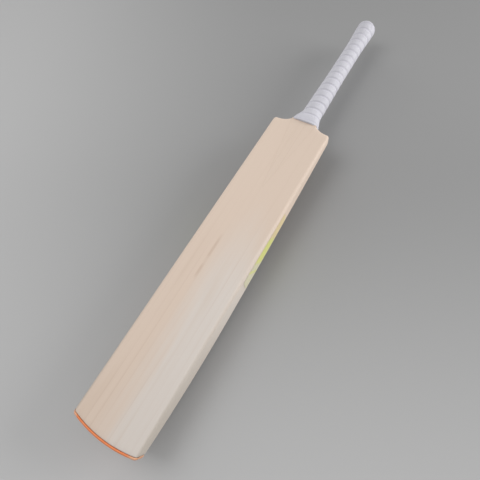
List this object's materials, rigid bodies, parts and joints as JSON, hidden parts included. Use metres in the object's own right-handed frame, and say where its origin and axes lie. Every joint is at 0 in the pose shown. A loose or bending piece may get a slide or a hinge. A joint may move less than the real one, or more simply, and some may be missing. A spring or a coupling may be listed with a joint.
{
  "type": "cricket bat",
  "caption": "Tennis ball cricket bat: thick-edged willow blade, spliced cane handle, white rubber grip, orange toe guard and plain yellow-green edge labels.",
  "frame": {"origin": "middle of the bat's bounding box, on the surface that the crest of the spine lies on", "axes": "+X across the blade, +Y from the toe to the end of the handle, +Z out of the striking face"},
  "size_m": [0.108, 0.8517, 0.0631],
  "materials": {
    "willow": "satin lacquered pale willow, grain along the bat",
    "cane": "bare cane",
    "spring_rubber": "matte black rubber sheet",
    "cork": "cork sheet",
    "twine": "wound flax twine",
    "grip_rubber": "soft white rubber",
    "guard_rubber": "satin orange rubber",
    "label_vinyl": "plain yellow-green vinyl"
  },
  "bodies": {
    "root": {"blade": "willow", "cane_front_left": "cane", "cane_front_centre": "cane", "cane_front_right": "cane", "cane_mid_front_left": "cane", "cane_mid_front_centre": "cane", "cane_mid_front_right": "cane", "cane_mid_back_left": "cane", "cane_mid_back_centre": "cane", "cane_mid_back_right": "cane", "cane_back_left": "cane", "cane_back_centre": "cane", "cane_back_right": "cane", "spring_front": "spring_rubber", "spring_middle": "cork", "spring_back": "spring_rubber", "handle_binding": "twine", "grip": "grip_rubber", "toe_guard": "guard_rubber", "edge_label_right": "label_vinyl", "edge_label_left": "label_vinyl"}
  },
  "joints": []
}
